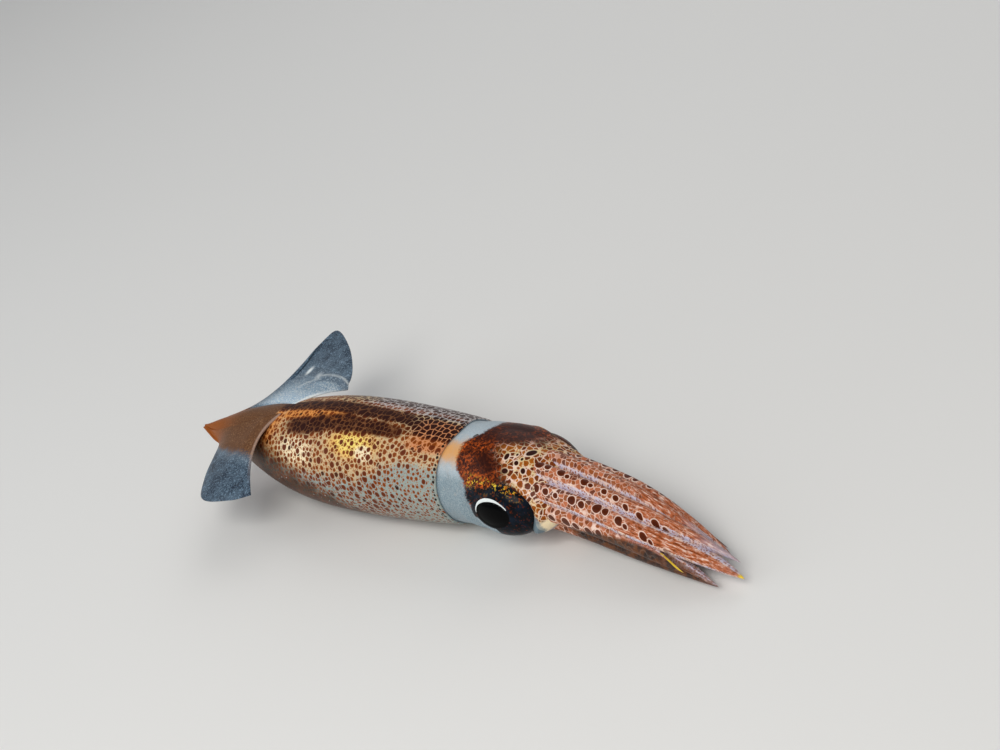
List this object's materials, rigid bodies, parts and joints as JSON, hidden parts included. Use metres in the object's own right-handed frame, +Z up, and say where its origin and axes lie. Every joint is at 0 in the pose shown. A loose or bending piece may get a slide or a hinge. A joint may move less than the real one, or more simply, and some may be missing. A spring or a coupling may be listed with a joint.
{
  "type": "whole raw squid",
  "caption": "Small whole raw squid lying on its belly: spotted mantle with two see-through tail fins, pale neck, dark head with large eyes, and a bundle of tapered arms.",
  "frame": {"origin": "on the surface that it rests on, in the flat spot under the widest part of the mantle", "axes": "+X towards the arm tips, +Y to the squid's own left, +Z up out of its back"},
  "size_m": [0.1315, 0.0404, 0.0194],
  "materials": {
    "mantle_skin": "wet gloss",
    "fin_skin": "wet gloss, see-through",
    "head_skin": "wet gloss",
    "eye": "wet mirror gloss"
  },
  "bodies": {
    "root": {"mantle": "mantle_skin", "head": "head_skin", "eye_left": "eye", "eye_right": "eye"}
  },
  "joints": []
}
